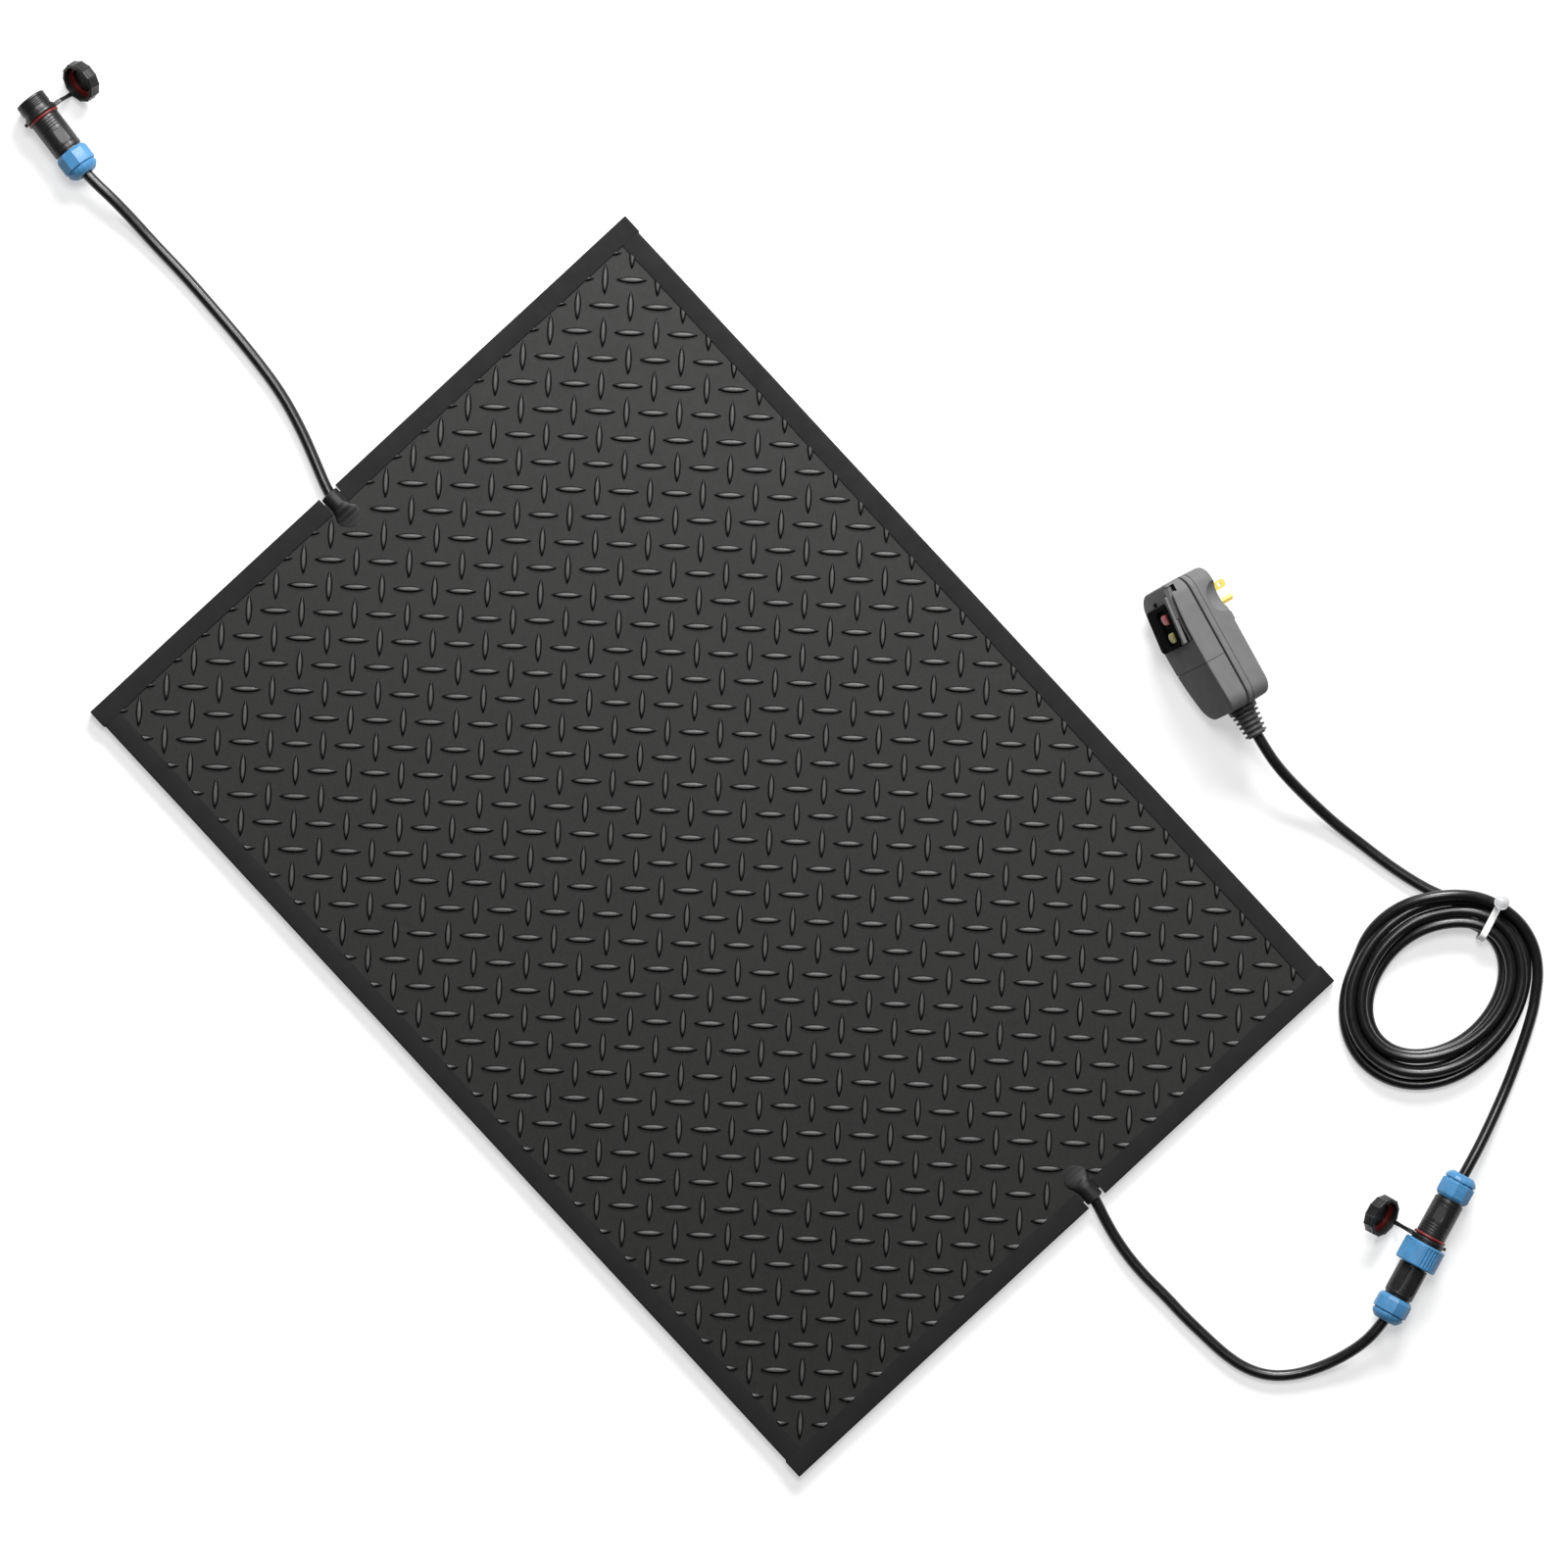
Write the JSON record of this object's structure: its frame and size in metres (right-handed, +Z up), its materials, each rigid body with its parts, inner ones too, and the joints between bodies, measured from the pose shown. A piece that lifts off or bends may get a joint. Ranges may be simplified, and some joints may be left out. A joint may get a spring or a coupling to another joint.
{
  "type": "heated floor mat",
  "caption": "Rectangular heated rubber mat with diamond tread, hemmed edges, waterproof in-line connectors at both ends and a coiled power cord with a ground-fault plug.",
  "frame": {"origin": "centre of the mat's underside", "axes": "+X along the mat towards the feed end with the power cord, +Y across it, +Z up out of the tread"},
  "size_m": [1.3378, 0.672, 0.066],
  "materials": {
    "mat_rubber": "matte moulded diamond tread",
    "hem_rubber": "matte",
    "core_foam": "closed cell",
    "heating_jacket": "smooth",
    "splice_resin": "potted",
    "metal_can": "satin",
    "cord_jacket": "satin",
    "connector_black": "satin moulded",
    "connector_blue": "semi-gloss moulded",
    "seal_red": "satin",
    "seal_black": "matte",
    "contact_brass": "bright",
    "washer_steel": "bright",
    "plug_grey": "fine textured",
    "bezel_black": "smooth",
    "reset_red": "soft sheen",
    "test_olive": "soft sheen",
    "board_green": "solder mask",
    "part_dark": "moulded",
    "spring_steel": "bright",
    "tie_white": "satin",
    "knob_clear": "frosted"
  },
  "bodies": {
    "mat": {"base_sheet": "mat_rubber", "core_layer": "core_foam", "heating_cable": "heating_jacket", "cable_end_seal": "splice_resin", "splice_blocks": "splice_resin", "through_ribbon": "heating_jacket", "thermal_cutout": "metal_can", "tread_sheet": "mat_rubber", "long_hems": "hem_rubber", "feed_end_hem": "hem_rubber", "tail_end_hem": "hem_rubber", "feed_boot": "mat_rubber", "tail_boot": "mat_rubber", "tail_lead": "cord_jacket", "feed_lead": "cord_jacket", "tail_gland_nut": "connector_blue", "tail_gland_seal": "seal_black", "tail_socket_body": "connector_black", "tail_socket_insert": "connector_black", "tail_socket_contacts": "contact_brass", "tail_o_ring": "seal_red", "feed_gland_nut": "connector_blue", "feed_gland_seal": "seal_black", "feed_plug_body": "connector_black", "feed_plug_insert": "connector_black", "feed_pins": "contact_brass"},
    "washer": {"slip_washer": "washer_steel"},
    "ring": {"coupling_ring": "connector_blue"},
    "power_set": {"mains_gland_nut": "connector_blue", "mains_gland_seal": "seal_black", "mains_socket_body": "connector_black", "mains_socket_insert": "connector_black", "mains_socket_contacts": "contact_brass", "mains_o_ring": "seal_red", "power_cord_lead": "cord_jacket", "power_cord_coil": "cord_jacket", "power_cord_tail": "cord_jacket", "coil_tie": "tie_white", "tie_knob": "knob_clear", "plug_rear_shell": "plug_grey", "plug_front_shell": "plug_grey", "plug_terminal_cover": "plug_grey", "plug_gasket": "seal_black", "button_bezel": "bezel_black", "button_springs": "spring_steel", "plug_boot": "plug_grey", "line_blades": "contact_brass", "ground_pin": "contact_brass", "circuit_board": "board_green", "board_parts": "part_dark", "shell_screws": "washer_steel"},
    "tail_strap": {"tail_cap_strap": "connector_black"},
    "tail_cap": {"tail_cap": "connector_black", "tail_cap_seal": "seal_red"},
    "mains_strap": {"mains_cap_strap": "connector_black"},
    "mains_cap": {"mains_cap": "connector_black", "mains_cap_seal": "seal_red"},
    "reset_button": {"reset_button": "reset_red"},
    "test_button": {"test_button": "test_olive"}
  },
  "joints": [
    {"name": "ring_turn", "type": "hinge", "parent": "washer", "child": "ring", "pos_m": [0.56945, 0.17646, 0.0158], "axis": [0.3173, -0.9483, 0], "range_deg": [0, 540]},
    {"name": "ring_back_off", "type": "slide", "parent": "mat", "child": "washer", "axis": [0.3173, -0.9483, 0], "range_m": [0, 0.003]},
    {"name": "mains_unplug", "type": "slide", "parent": "mat", "child": "power_set", "axis": [-0.3173, 0.9483, 0], "range_m": [0, 0.03]},
    {"name": "tail_cap_swing", "type": "hinge", "parent": "mat", "child": "tail_strap", "pos_m": [-0.72446, 0.00414, 0.01305], "axis": [0.9956, -0.0941, 0], "range_deg": [0, 100]},
    {"name": "tail_cap_flex", "type": "hinge", "parent": "tail_strap", "child": "tail_cap", "pos_m": [-0.72176, 0.03272, 0.00178], "axis": [-0.9956, 0.0941, 0], "range_deg": [0, 20], "stiffness_Nm_per_rad": 0.03},
    {"name": "mains_cap_swing", "type": "hinge", "parent": "power_set", "child": "mains_strap", "pos_m": [0.56583, 0.18727, 0.0158], "axis": [-0.3173, 0.9483, 0], "range_deg": [0, 100]},
    {"name": "mains_cap_flex", "type": "hinge", "parent": "mains_strap", "child": "mains_cap", "pos_m": [0.53854, 0.17814, 0.0019], "axis": [0.3173, -0.9483, 0], "range_deg": [0, 20], "stiffness_Nm_per_rad": 0.03},
    {"name": "reset_press", "type": "slide", "parent": "power_set", "child": "reset_button", "axis": [0.2243, 0.8996, -0.3746], "range_m": [0, 0.0012], "stiffness_N_per_m": 600},
    {"name": "test_press", "type": "slide", "parent": "power_set", "child": "test_button", "axis": [0.2243, 0.8996, -0.3746], "range_m": [0, 0.0012], "stiffness_N_per_m": 600}
  ],
  "couplings": [
    {"joint": "ring_back_off", "follows": "ring_turn", "m_per_rad": 0.00031831}
  ]
}
